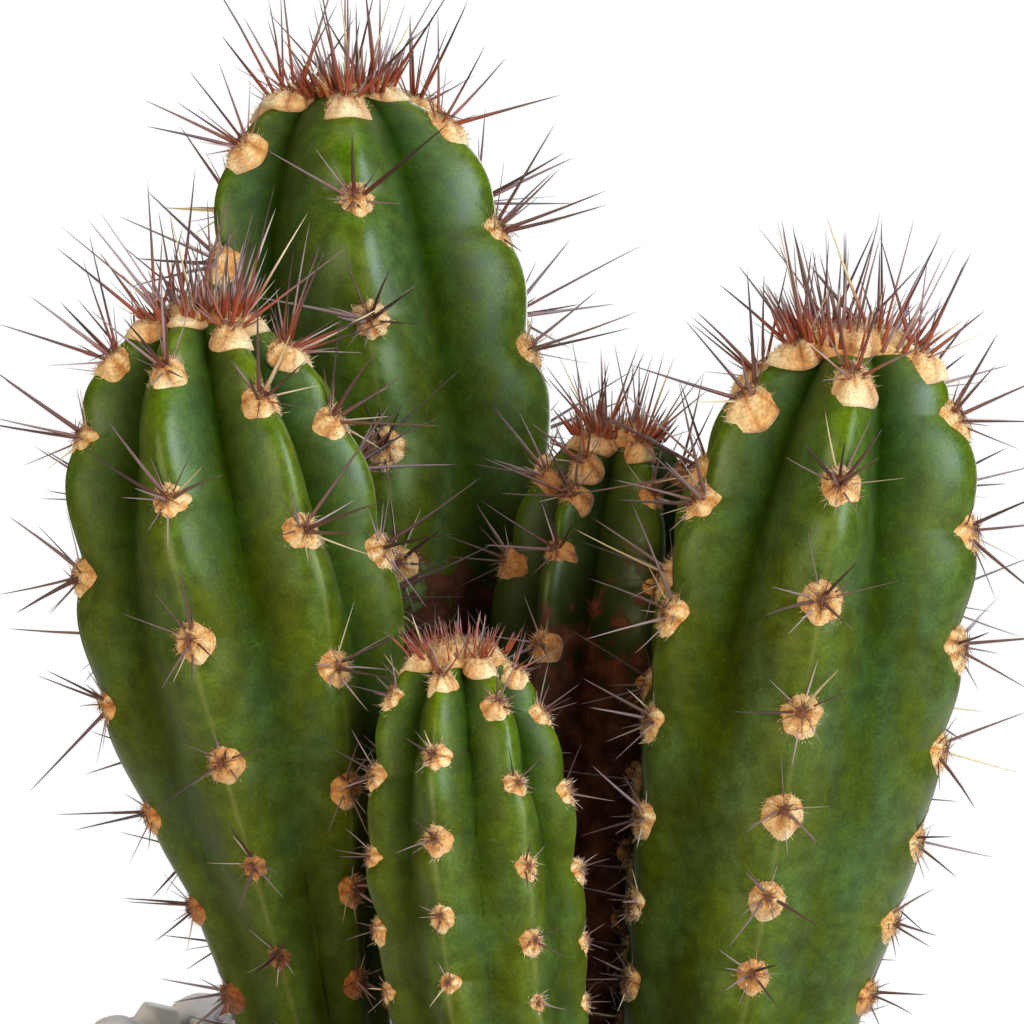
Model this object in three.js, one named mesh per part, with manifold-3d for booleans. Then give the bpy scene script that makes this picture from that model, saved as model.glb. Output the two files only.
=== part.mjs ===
// Potted cactus: a clump of five ribbed columnar stems in a plain terracotta pot, with gravel on the soil.
// Millimetres, +Z up. The origin is the centre of the pot's foot, and -Y is the front.
import * as THREE from 'three';
import { mergeVertices } from 'three/addons/utils/BufferGeometryUtils.js';
import Module from 'manifold-3d';

const wasm = await Module();
wasm.setup();

// ---------------------------------------------------------------------------------------------
// Driving dimensions, in millimetres and degrees
// ---------------------------------------------------------------------------------------------

const TOUCH_GAP = 0.3; // between pieces that rest against each other
const WALL_GAP = 2 * TOUCH_GAP; // between the pot's wall and what fills it, as both are faceted

const POT_HEIGHT = 114;
const POT_RIM_RADIUS = 78;
const POT_FOOT_RADIUS = 52;
const POT_WALL = 6;
const POT_FLOOR = 8;
const POT_EDGE = 1.5; // rounding of the foot and the rim
const COLLAR_HEIGHT = 26;
const COLLAR_STEP = 3.5; // how far the collar stands out from the wall
const COLLAR_DRAFT = 1.5; // the collar widens this much towards the rim
const DRAIN_RADIUS = 5;
const DRAIN_CIRCLE = 27;
const DRAIN_COUNT = 3;
const DRAIN_SIDES = 12;
const DRILL_LENGTH = 3 * POT_FLOOR;
const POT_SIDES = 40;

const SOIL_TOP = 109;
const GRAVEL_EDGE_TOP = 113.2; // gravel height against the pot
const GRAVEL_HEAP = 2; // how much higher the gravel lies among the stems
const GRAVEL_BUMP = 0.4;
const GRAVEL_WAVES = [0.31, 0.27, 0.17]; // radians a millimetre, along X, Y and both
const GRAVEL_MIDDLE_RING = 0.55; // share of the gravel's radius
const GROUND = 114; // height at which a stem leaves the gravel

// The larger loose stones: [azimuth from the left towards the back, distance from the middle, radius].
const STONES = [
  [13, 65.2, 6.4],
  [26, 65.5, 5.4],
  [38, 65.5, 6.2],
  [63, 63, 4.6],
  [86, 65.5, 5.1],
  [107, 62, 4.4],
  [131, 65, 5.6],
  [152, 64, 4.8],
  [229, 64.5, 5.4],
  [254, 65, 4.7],
  [281, 64, 5.6],
  [306, 64.5, 5],
  [329, 63.5, 5.8],
  [349, 65.5, 4.6],
];
const STONE_SHAPE = [1, 0.8, 0.65]; // a stone's length, width and height as shares of its size
const STONE_TILT = 0.5; // radians
const STONE_LIFT = 0.3; // height of its middle over the gravel as a share of its radius

// One entry per stem. foot is [x, y] at GROUND and tip is [x, y, z] of the crown; bow bends the axis
// between them. The radius swells from footRadius to bellyRadius at the share `belly` of the height, and
// closes over the rest as a dome, whose roundness is set by dome and shoulder. ribs are the crests'
// azimuths at the crown, from the front towards +X, valleys those of the grooves that follow them, and
// twist turns them all further towards the foot.
// topAreoles gives, rib by rib, how far down the crest from the crown the top areole lies.
const STEMS = {
  back: {
    foot: [-6, 44],
    tip: [-24.8, 57, 282.6],
    bow: [-0.8, 2],
    footRadius: 14,
    bellyRadius: 33.8,
    flare: 0,
    belly: 0.59,
    dome: 2.3,
    shoulder: 3.1,
    ribs: [-66, 1, 68, 116, 180, 244],
    valleys: [-48, 33, 92, 148, 212, 269],
    twist: 4,
    topAreoles: [24.3, 13, 20.3, 14, 20, 14],
    wool: 4,
    spine: 24,
  },
  left: {
    foot: [-28, -6],
    tip: [-47.5, -8, 244],
    bow: [-1.2, 0],
    footRadius: 14,
    bellyRadius: 29.5,
    flare: 0,
    belly: 0.612,
    dome: 2.1,
    shoulder: 2.4,
    ribs: [-78, -23, 26.5, 68, 115, 170, 225],
    valleys: [-54, 2, 47, 91, 142, 197, 253],
    twist: 18,
    topAreoles: [33, 19.6, 26.3, 31.7, 18, 28, 22],
    wool: 3.9,
    spine: 23,
  },
  right: {
    foot: [43.8, -10],
    tip: [63.3, -17, 240],
    bow: [1, 0],
    footRadius: 20.7,
    bellyRadius: 28.3,
    flare: -0.15,
    belly: 0.613,
    dome: 2.1,
    shoulder: 2.7,
    ribs: [-66, 0, 70, 130, 190, 250],
    valleys: [-40, 27, 100, 160, 222, 273],
    twist: -4,
    topAreoles: [22.3, 16.6, 24.8, 20, 25, 18],
    wool: 3.9,
    spine: 22,
  },
  front: {
    foot: [3, -36],
    tip: [-3.2, -38, 189],
    bow: [-0.6, 0],
    footRadius: 15.5,
    bellyRadius: 18.3,
    flare: -0.15,
    belly: 0.527,
    dome: 2.1,
    shoulder: 2.6,
    ribs: [-72, -19, 31, 82, 132, 184, 236],
    valleys: [-46, 5, 57, 107, 158, 210, 262],
    twist: 0,
    topAreoles: [14.4, 10.1, 15.4, 18.5, 13, 17, 14],
    wool: 2.6,
    spine: 12,
  },
  middle: {
    foot: [14.5, 16],
    tip: [24.5, 17, 222],
    bow: [0, 0],
    footRadius: 13,
    bellyRadius: 20.5,
    flare: -0.15,
    belly: 0.615,
    dome: 2.1,
    shoulder: 2.6,
    ribs: [-85, -34, 28, 88, 150, 212],
    valleys: [-60, -11, 58, 119, 181, 243],
    twist: 0,
    topAreoles: [15.5, 29, 18, 14, 20, 16],
    wool: 3.1,
    spine: 17,
  },
};

const GROOVE_SHARPNESS = 1.7; // 1 makes flat flanks; more rounds the crest and keeps the groove narrow
const GROOVE_AT_CROWN = 0.3; // groove depth as a share of the radius
const GROOVE_AT_FOOT = 0.13;
const GROOVE_FADE = [0.3, 0.95]; // shares of the height between which the groove deepens
const ROOT_DEPTH = 42; // the buried root crown's length

const DOME_RINGS = 6;
const BODY_RINGS = 5;
const ROOT_RINGS = 3;
const STEPS_PER_RIB = 4;

const WOOL_HEIGHT = 0.55; // a wool pad's height as a share of its radius
const WOOL_SIDES = 7;
const WOOL_ROWS = 4;
const CROWN_WOOL = 1.75; // the crown's wool as a multiple of a rib pad's radius
const SPINE_RADIUS = 0.5;
const SPINE_SIDES = 3;
const RADIAL_SPINES = 6;
const RADIAL_SHIFT = 0.3; // how unevenly they stand round the pad, as a share of their spacing
const RADIAL_TILT = [56, 66];
const RADIAL_LENGTH = [0.62, 0.9]; // of spines, as shares of the stem's longest
const CENTRAL_TILT = 24;
const CROWN_SPINES = 13;
const CROWN_SPINE_TILT = 42;
const CROWN_SPINE_LENGTH = [0.7, 0.95];
const GOLDEN_ANGLE = 137.5;
const CLEAR_START = 5; // a spine's first stretch stands in its own wool, so it isn't tested for clearance

const CREST_STEP = 0.002; // share of the height walked at a time down a crest
const SLOPE_STEP = 0.02; // share of the height, and of a rib, over which the skin's slope is taken
const WELD_DISTANCE = 1e-4;
const SEED = 100;

// ---------------------------------------------------------------------------------------------
// Helpers
// ---------------------------------------------------------------------------------------------

const radians = THREE.MathUtils.degToRad;
const lerp = THREE.MathUtils.lerp;
const smooth = THREE.MathUtils.smoothstep;
const UP = new THREE.Vector3(0, 1, 0);

// The next of a repeatable row of numbers between low and high.
THREE.MathUtils.seededRandom(SEED);
function random(low = 0, high = 1) {
  return lerp(low, high, THREE.MathUtils.seededRandom());
}

function toSolid(geometry) {
  geometry.deleteAttribute('normal');
  geometry.deleteAttribute('uv');
  const merged = mergeVertices(geometry, WELD_DISTANCE);
  const vertProperties = new Float32Array(merged.attributes.position.array);
  const triVerts = new Uint32Array(merged.index.array);
  return new wasm.Manifold(new wasm.Mesh({ numProp: 3, vertProperties, triVerts }));
}

function toGeometry(solid) {
  const { vertProperties, triVerts } = solid.getMesh();
  const geometry = new THREE.BufferGeometry();
  geometry.setAttribute('position', new THREE.BufferAttribute(vertProperties, 3));
  geometry.setIndex(new THREE.BufferAttribute(triVerts, 1));
  return geometry;
}

function makeMaterial(color, roughness) {
  return new THREE.MeshStandardMaterial({ color, roughness, metalness: 0 });
}

const materials = {
  terracotta: makeMaterial(0xb8694a, 0.85),
  soil: makeMaterial(0x3b2a20, 0.95),
  gravel: makeMaterial(0xb4aea6, 0.8),
  skin: makeMaterial(0x466b35, 0.5),
  wool: makeMaterial(0xd9a77f, 0.95),
};

const plant = new THREE.Group();

function addPiece(name, solid, material) {
  const mesh = new THREE.Mesh(toGeometry(solid), material);
  mesh.name = name;
  plant.add(mesh);
}

// A solid of revolution about Z from [radius, height] points, which start and end on the axis.
function turned(points, sides) {
  const profile = points.map(([radius, height]) => new THREE.Vector2(radius, height));
  const geometry = new THREE.LatheGeometry(profile, sides);
  geometry.rotateX(Math.PI / 2);
  return toSolid(geometry);
}

// ---------------------------------------------------------------------------------------------
// Pot
// ---------------------------------------------------------------------------------------------

const potInnerFoot = POT_FOOT_RADIUS - POT_WALL;
const potInnerRim = POT_RIM_RADIUS - POT_WALL;

function potInnerRadius(height) {
  return lerp(potInnerFoot, potInnerRim, (height - POT_FLOOR) / (POT_HEIGHT - POT_FLOOR));
}

function potShell() {
  const collarFoot = POT_HEIGHT - COLLAR_HEIGHT;
  const collarRadius = POT_RIM_RADIUS - COLLAR_DRAFT;
  return turned(
    [
      [0, 0],
      [POT_FOOT_RADIUS - POT_EDGE, 0],
      [POT_FOOT_RADIUS, POT_EDGE],
      [collarRadius - COLLAR_STEP, collarFoot],
      [collarRadius - POT_EDGE, collarFoot],
      [collarRadius, collarFoot + POT_EDGE],
      [POT_RIM_RADIUS, POT_HEIGHT - POT_EDGE],
      [POT_RIM_RADIUS - POT_EDGE, POT_HEIGHT],
      [potInnerRim + POT_EDGE, POT_HEIGHT],
      [potInnerRadius(POT_HEIGHT - POT_EDGE), POT_HEIGHT - POT_EDGE],
      [potInnerFoot, POT_FLOOR],
      [0, POT_FLOOR],
    ],
    POT_SIDES,
  );
}

function drainHole(index) {
  const angle = (index / DRAIN_COUNT) * Math.PI * 2;
  const drill = new THREE.CylinderGeometry(DRAIN_RADIUS, DRAIN_RADIUS, DRILL_LENGTH, DRAIN_SIDES);
  drill.rotateX(Math.PI / 2);
  drill.translate(DRAIN_CIRCLE * Math.sin(angle), DRAIN_CIRCLE * Math.cos(angle), 0);
  return toSolid(drill);
}

function makePot() {
  let pot = potShell();
  for (let i = 0; i < DRAIN_COUNT; i += 1) {
    pot = pot.subtract(drainHole(i));
  }
  return pot;
}

// ---------------------------------------------------------------------------------------------
// Stems
// ---------------------------------------------------------------------------------------------

// The axis is a quadratic curve, and share runs from 0 at the ground to 1 at the crown.
function axisPoint(stem, share) {
  const foot = new THREE.Vector3(stem.foot[0], stem.foot[1], GROUND);
  const tip = new THREE.Vector3(...stem.tip);
  const middle = foot.clone().lerp(tip, 0.5);
  middle.x += 2 * stem.bow[0];
  middle.y += 2 * stem.bow[1];
  const rest = 1 - share;
  return new THREE.Vector3()
    .addScaledVector(foot, rest * rest)
    .addScaledVector(middle, 2 * share * rest)
    .addScaledVector(tip, share * share);
}

function crestRadius(stem, share) {
  if (share < stem.belly) {
    return lerp(stem.footRadius, stem.bellyRadius, smooth(share, stem.flare, stem.belly));
  }
  const up = Math.min(1, (share - stem.belly) / (1 - stem.belly));
  return stem.bellyRadius * (1 - up ** stem.dome) ** (1 / stem.shoulder);
}

function rootRadius(stem, depthShare) {
  return stem.footRadius * Math.sqrt(Math.max(0, 1 - depthShare * depthShare));
}

function grooveDepth(share) {
  return lerp(GROOVE_AT_FOOT, GROOVE_AT_CROWN, smooth(share, ...GROOVE_FADE));
}

// across runs from 0 on one crest, through 0.5 in the groove, to 1 on the next crest.
function grooveShape(across) {
  return (1 - Math.abs(2 * across - 1)) ** GROOVE_SHARPNESS;
}

// The azimuth `turn` ribs round from the first crest, with each groove half way through its turn.
function azimuthAt(stem, turn) {
  const count = stem.ribs.length;
  const rib = Math.floor(turn) % count;
  const across = turn - Math.floor(turn);
  const valley = stem.valleys[rib];
  if (across < 0.5) {
    return lerp(stem.ribs[rib], valley, 2 * across);
  }
  const next = rib + 1 < count ? stem.ribs[rib + 1] : stem.ribs[0] + 360;
  return lerp(valley, next, 2 * across - 1);
}

// A point of the skin, `turn` ribs round from the first crest. grow moves it outwards.
function skinPoint(stem, turn, share, grow = 0) {
  const across = turn - Math.floor(turn);
  const azimuth = radians(azimuthAt(stem, turn) + stem.twist * (1 - share));
  const centre = axisPoint(stem, Math.max(share, 0));
  const depthShare = share < 0 ? -share : 0;
  const crest = share < 0 ? rootRadius(stem, depthShare) : crestRadius(stem, share);
  const radius = crest * (1 - grooveDepth(share) * grooveShape(across)) + grow;
  return new THREE.Vector3(
    centre.x + radius * Math.sin(azimuth),
    centre.y - radius * Math.cos(azimuth),
    centre.z - depthShare * ROOT_DEPTH,
  );
}

// The share of the height for each ring: closer together over the dome, and below 0 in the root.
function ringShare(stem, ring) {
  if (ring <= DOME_RINGS) {
    const up = Math.cos((ring / DOME_RINGS) * (Math.PI / 2)) ** (2 / stem.dome);
    return lerp(stem.belly, 1, up);
  }
  if (ring <= DOME_RINGS + BODY_RINGS) {
    return stem.belly * (1 - (ring - DOME_RINGS) / BODY_RINGS);
  }
  return -(ring - DOME_RINGS - BODY_RINGS) / ROOT_RINGS;
}

// A stem is a ball whose rings are drawn out to the stem's own sections. Its poles are the crown and
// the root's end, which stay on the axis.
function stemSolid(stem, grow = 0) {
  const rings = DOME_RINGS + BODY_RINGS + ROOT_RINGS;
  const around = stem.ribs.length * STEPS_PER_RIB;
  const ball = new THREE.SphereGeometry(1, around, rings);
  const { position } = ball.attributes;
  for (let i = 0; i < position.count; i += 1) {
    const ring = Math.floor(i / (around + 1));
    const step = (i % (around + 1)) % around;
    const share = ringShare(stem, ring);
    const point = skinPoint(stem, step / STEPS_PER_RIB, share, grow);
    if (ring === 0) {
      point.set(stem.tip[0], stem.tip[1], stem.tip[2] + grow);
    }
    if (ring === rings) {
      point.set(stem.foot[0], stem.foot[1], GROUND - ROOT_DEPTH - grow);
    }
    position.setXYZ(i, point.x, point.y, point.z);
  }
  return toSolid(ball);
}

// ---------------------------------------------------------------------------------------------
// Areoles, spines and crown tufts
// ---------------------------------------------------------------------------------------------

// Walks down a rib's crest from the crown until it has gone `distance`.
function shareDownCrest(stem, rib, distance) {
  let share = 1;
  let walked = 0;
  let last = new THREE.Vector3(...stem.tip);
  while (walked < distance && share > CREST_STEP) {
    share -= CREST_STEP;
    const point = skinPoint(stem, rib, share);
    walked += point.distanceTo(last);
    last = point;
  }
  return share;
}

function skinNormal(stem, rib, share) {
  const count = stem.ribs.length;
  const above = skinPoint(stem, rib, share + SLOPE_STEP);
  const along = above.sub(skinPoint(stem, rib, share - SLOPE_STEP));
  const right = skinPoint(stem, rib + SLOPE_STEP, share);
  const left = skinPoint(stem, (rib - SLOPE_STEP + count) % count, share);
  return right.sub(left).cross(along).normalize();
}

function woolPad(centre, normal, radius) {
  const pad = new THREE.SphereGeometry(radius, WOOL_SIDES, WOOL_ROWS);
  pad.scale(1, WOOL_HEIGHT, 1);
  const turn = new THREE.Quaternion().setFromUnitVectors(UP, normal);
  pad.applyQuaternion(turn);
  pad.translate(centre.x, centre.y, centre.z);
  return toSolid(pad);
}

// A straight spine along direction, from `start` mm out to its point.
function spineSolid(root, direction, length, radius, start = 0) {
  const cone = new THREE.ConeGeometry(radius, length - start, SPINE_SIDES);
  cone.translate(0, (length + start) / 2, 0);
  cone.applyQuaternion(new THREE.Quaternion().setFromUnitVectors(UP, direction));
  cone.translate(root.x, root.y, root.z);
  return toSolid(cone);
}

// A direction `tilt` degrees away from the normal, turned `turn` degrees about it.
function fanned(normal, tilt, turn) {
  const direction = new THREE.Vector3().setFromSphericalCoords(1, radians(tilt), radians(turn));
  return direction.applyQuaternion(new THREE.Quaternion().setFromUnitVectors(UP, normal));
}

// Wool with the spines that stand clear of everything already there. The wool's underside follows the
// skin, and what the tuft fills is added to the taken space.
function tuft(space, skin, centre, normal, woolRadius, spines) {
  let solid = woolPad(centre, normal, woolRadius);
  for (const { tilt, turn, length } of spines) {
    const direction = fanned(normal, tilt, turn);
    const fat = SPINE_RADIUS + TOUCH_GAP;
    const probe = spineSolid(centre, direction, length + TOUCH_GAP, fat, CLEAR_START);
    if (space.taken.intersect(probe).isEmpty()) {
      solid = solid.add(spineSolid(centre, direction, length, SPINE_RADIUS));
      space.taken = space.taken.add(probe);
    }
  }
  space.taken = space.taken.add(woolPad(centre, normal, woolRadius + TOUCH_GAP));
  return solid.subtract(skin);
}

function areoleSpines(stem) {
  const spines = [];
  const spread = 360 / RADIAL_SPINES;
  for (let i = 0; i < RADIAL_SPINES; i += 1) {
    const turn = (i + random(0, RADIAL_SHIFT)) * spread;
    spines.push({ tilt: random(...RADIAL_TILT), turn, length: stem.spine * random(...RADIAL_LENGTH) });
  }
  spines.push({ tilt: CENTRAL_TILT, turn: random(0, 360), length: stem.spine });
  return spines;
}

function crownSpines(stem) {
  const spines = [];
  for (let i = 0; i < CROWN_SPINES; i += 1) {
    const tilt = CROWN_SPINE_TILT * Math.sqrt(i / CROWN_SPINES);
    spines.push({ tilt, turn: i * GOLDEN_ANGLE, length: stem.spine * random(...CROWN_SPINE_LENGTH) });
  }
  return spines;
}

function makeCrown(space, name, stem, skin) {
  const centre = new THREE.Vector3(...stem.tip);
  const up = new THREE.Vector3(0, 0, 1);
  const solid = tuft(space, skin, centre, up, stem.wool * CROWN_WOOL, crownSpines(stem));
  addPiece(`crown_tuft_${name}`, solid, materials.wool);
}

function makeAreole(space, name, stem, skin, rib) {
  const share = shareDownCrest(stem, rib, stem.topAreoles[rib]);
  const centre = skinPoint(stem, rib, share);
  const normal = skinNormal(stem, rib, share);
  const solid = tuft(space, skin, centre, normal, stem.wool, areoleSpines(stem));
  addPiece(`areole_${name}_${rib + 1}`, solid, materials.wool);
}

// ---------------------------------------------------------------------------------------------
// Soil, gravel and loose stones
// ---------------------------------------------------------------------------------------------

function makeSoil(taken) {
  const floor = POT_FLOOR + TOUCH_GAP;
  const body = turned(
    [
      [0, floor],
      [potInnerRadius(floor) - WALL_GAP, floor],
      [potInnerRadius(SOIL_TOP) - WALL_GAP, SOIL_TOP],
      [0, SOIL_TOP],
    ],
    POT_SIDES,
  );
  return body.subtract(taken);
}

function gravelTop(x, y) {
  const out = Math.hypot(x, y) / potInnerRadius(GRAVEL_EDGE_TOP);
  const [alongX, alongY, across] = GRAVEL_WAVES;
  const waves = Math.sin(x * alongX + 1) * Math.cos(y * alongY) + Math.sin((x + y) * across);
  return GRAVEL_EDGE_TOP + GRAVEL_HEAP * (1 - out * out) + GRAVEL_BUMP * waves;
}

// The gravel is a disc whose upper face is raised into a low uneven heap.
function makeGravel(taken) {
  const edge = potInnerRadius(SOIL_TOP) - WALL_GAP;
  const floor = SOIL_TOP + TOUCH_GAP;
  const disc = turned(
    [
      [0, floor],
      [edge, floor],
      [edge, GRAVEL_EDGE_TOP],
      [edge * GRAVEL_MIDDLE_RING, GRAVEL_EDGE_TOP],
      [0, GRAVEL_EDGE_TOP],
    ],
    POT_SIDES,
  );
  const raised = disc.warp((point) => {
    if (point[2] > floor + TOUCH_GAP) {
      point[2] = gravelTop(point[0], point[1]);
    }
  });
  return raised.subtract(taken);
}

// A broken chip of stone on the gravel. turn and tilt lay it down, and grow adds room round it.
function stoneSolid([azimuth, distance, radius], turn, tilt, grow = 0) {
  const x = -distance * Math.cos(radians(azimuth));
  const y = distance * Math.sin(radians(azimuth));
  const chip = new THREE.IcosahedronGeometry(radius + grow, 0);
  chip.scale(...STONE_SHAPE);
  chip.rotateZ(turn);
  chip.rotateX(tilt);
  chip.translate(x, y, gravelTop(x, y) + radius * STONE_LIFT);
  return toSolid(chip);
}

// Places the loose stones and returns the room that they take.
function placeStones() {
  const room = [];
  STONES.forEach((stone, index) => {
    const turn = random(0, Math.PI);
    const tilt = random(0, STONE_TILT);
    addPiece(`stone_${index + 1}`, stoneSolid(stone, turn, tilt), materials.gravel);
    room.push(stoneSolid(stone, turn, tilt, TOUCH_GAP));
  });
  return wasm.Manifold.union(room);
}

// ---------------------------------------------------------------------------------------------
// Assembly
// ---------------------------------------------------------------------------------------------

const skins = {};
let stemSpace = null;
for (const [name, stem] of Object.entries(STEMS)) {
  addPiece(`stem_${name}`, stemSolid(stem), materials.skin);
  skins[name] = stemSolid(stem, TOUCH_GAP);
  stemSpace = stemSpace ? stemSpace.add(skins[name]) : skins[name];
}

const space = { taken: stemSpace };
for (const [name, stem] of Object.entries(STEMS)) {
  makeCrown(space, name, stem, skins[name]);
}
for (const [name, stem] of Object.entries(STEMS)) {
  for (let rib = 0; rib < stem.ribs.length; rib += 1) {
    makeAreole(space, name, stem, skins[name], rib);
  }
}

const stoneSpace = placeStones();
addPiece('pot', makePot(), materials.terracotta);
addPiece('soil', makeSoil(stemSpace), materials.soil);
addPiece('gravel_layer', makeGravel(stemSpace.add(stoneSpace)), materials.gravel);

export default plant;
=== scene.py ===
import math
from collections import namedtuple
from dataclasses import dataclass
from functools import partial

import bmesh
import bpy
import numpy as np
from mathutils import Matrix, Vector


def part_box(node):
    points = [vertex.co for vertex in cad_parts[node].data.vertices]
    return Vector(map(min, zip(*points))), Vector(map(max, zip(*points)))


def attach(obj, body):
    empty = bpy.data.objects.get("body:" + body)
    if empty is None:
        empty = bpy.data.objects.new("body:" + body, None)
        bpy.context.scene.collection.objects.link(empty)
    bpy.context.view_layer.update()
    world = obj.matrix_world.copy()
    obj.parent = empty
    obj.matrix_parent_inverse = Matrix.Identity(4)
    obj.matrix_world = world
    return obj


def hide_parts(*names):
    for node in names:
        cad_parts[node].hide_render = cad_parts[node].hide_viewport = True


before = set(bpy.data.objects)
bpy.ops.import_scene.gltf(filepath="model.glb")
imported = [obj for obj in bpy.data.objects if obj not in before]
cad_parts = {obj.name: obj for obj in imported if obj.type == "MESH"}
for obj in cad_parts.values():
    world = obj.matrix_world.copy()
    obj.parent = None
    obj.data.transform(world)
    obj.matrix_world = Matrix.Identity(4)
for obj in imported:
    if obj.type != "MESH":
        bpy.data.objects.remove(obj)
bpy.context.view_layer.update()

MM = 0.001
STEM_SEED = 10           # of the first stem; the next ones follow it
BED_SEED = 77

# ---- Driving dimensions: pot ----
POT_HEIGHT = 114
POT_RIM_RADIUS = 78
POT_FOOT_RADIUS = 52
POT_WALL = 6
POT_FLOOR = 8
COLLAR_HEIGHT = 26
COLLAR_STEP = 3.5        # how far the collar stands out from the wall
COLLAR_DRAFT = 1.5       # the collar widens this much towards the rim
POT_EDGE = 1.5           # rounding of the edges
RIM_EDGE = 2.4           # rounding of the rim's outer edge
POT_SEGMENTS = 192
DRAIN_RADIUS = 5
DRAIN_CIRCLE = 27
DRAIN_COUNT = 3
DRAIN_SIDES = 48

# ---- Driving dimensions: soil and gravel ----
SOIL_TOP = 109
GRAVEL_EDGE_TOP = 113.2  # gravel height against the pot
GRAVEL_HEAP = 2          # how much higher it lies among the stems
GRAVEL_BUMP = 0.4
GROUND = 114             # height at which a stem leaves the gravel
GRIT_RINGS = 60
GRIT_SEGMENTS = 160
GRIT_GAP = 0.6           # between the grit and the pot's wall
GRIT_DROP = 1.0          # how far the grit lies under the gravel's top
GRIT_GRAIN = 0.22        # the grit's unevenness
GRIT_FLOOR = 0.3         # how far its underside lies over the soil
CHIP_LAYERS = ((2.8, 1500, -0.8), (4.8, 700, 0.6))  # size, tries, height over the bed
CHIP_SHAPES = 14
CHIP_DETAIL = 3          # subdivisions of the ball that a chip is cut from
CHIP_PLANES = 11         # flat planes that it is broken along
STONE_DETAIL = 5
STONE_PLANES = 12
STEM_GAP = 0.42          # a chip keeps this share of its size clear of the stems and the larger stones
CHIP_GAP = 0.46          # and this share of both sizes clear of another chip
CHIP_STRETCH = (1.15, 0.95, 0.75)
CHIP_FLATTENING = 0.85   # chips lie on their flatter sides
STONE_SHARPNESS = 14.0   # less wears a stone's edges rounder

# ---- Driving dimensions: stems, with the same axes, crests and swelling as the part's ----
ROOT_DEPTH = 42
GROOVE_FADE = (0.35, 0.97)
GROOVE_CREASE = 0.6      # at the crown: 0 rounds the bottoms of the grooves and 1 creases them sharply
CREASE_SHARES = (0.35, 0.85)
RIB_FULLNESS = 1.0       # 1 makes ribs as wide as the grooves between them; more makes fuller ribs
YOUNG_SHARES = (0.62, 0.93)  # growth turns from old to young between these shares of the height
SMOOTH_TOP = (0.93, 0.995)   # and the crests run out smooth between these
KEEL_HEIGHT = 0.4        # a young crest's flat band stands this proud of its flanks
KEEL_HALF_WIDTH = 3.4
NOTCH_DEPTHS = (0.04, 0.1)   # how deep areoles sit in a crest's scallops at foot and crown, of the radius
NOTCH_HALF_WIDTH = 8
RELIEF_WAVES = 7         # sets of slow waves that make the skin uneven
RELIEF_HEIGHT = 0.14     # of one set
RELIEF_ROUND = (1, 9)    # waves round the stem in a set, less than the second number
RELIEF_UP = (4, 26)      # and radians that they run through on the way up
FOOT_PACE = 0.58         # how close areoles are at the foot, as a share of the stem's pace
FULL_PACE_SHARE = 0.72   # share of the height from which they keep that pace
CORK_SHADE_DROP = 48           # how much lower the cork ends at the back; on the sides that face the other stems it reaches higher, partly as painted shade of the gaps between them
CREST_HALF_WIDTHS = (5.0, 3.4)  # of the lighter band along old and young crests
SEAM_HALF_WIDTH = 0.4    # of the pale line along an old crest, between its areoles
SEAM_STRENGTH = 0.28
STEPS_PER_RIB = 36
STEP_CROWDING = 0.5      # how much closer the steps are at crests and grooves
CREST_STEPS = 3000       # points of a crest between which its areoles are placed
ROOT_RINGS = 8
BODY_RINGS = 120
DOME_RINGS = 84

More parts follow.
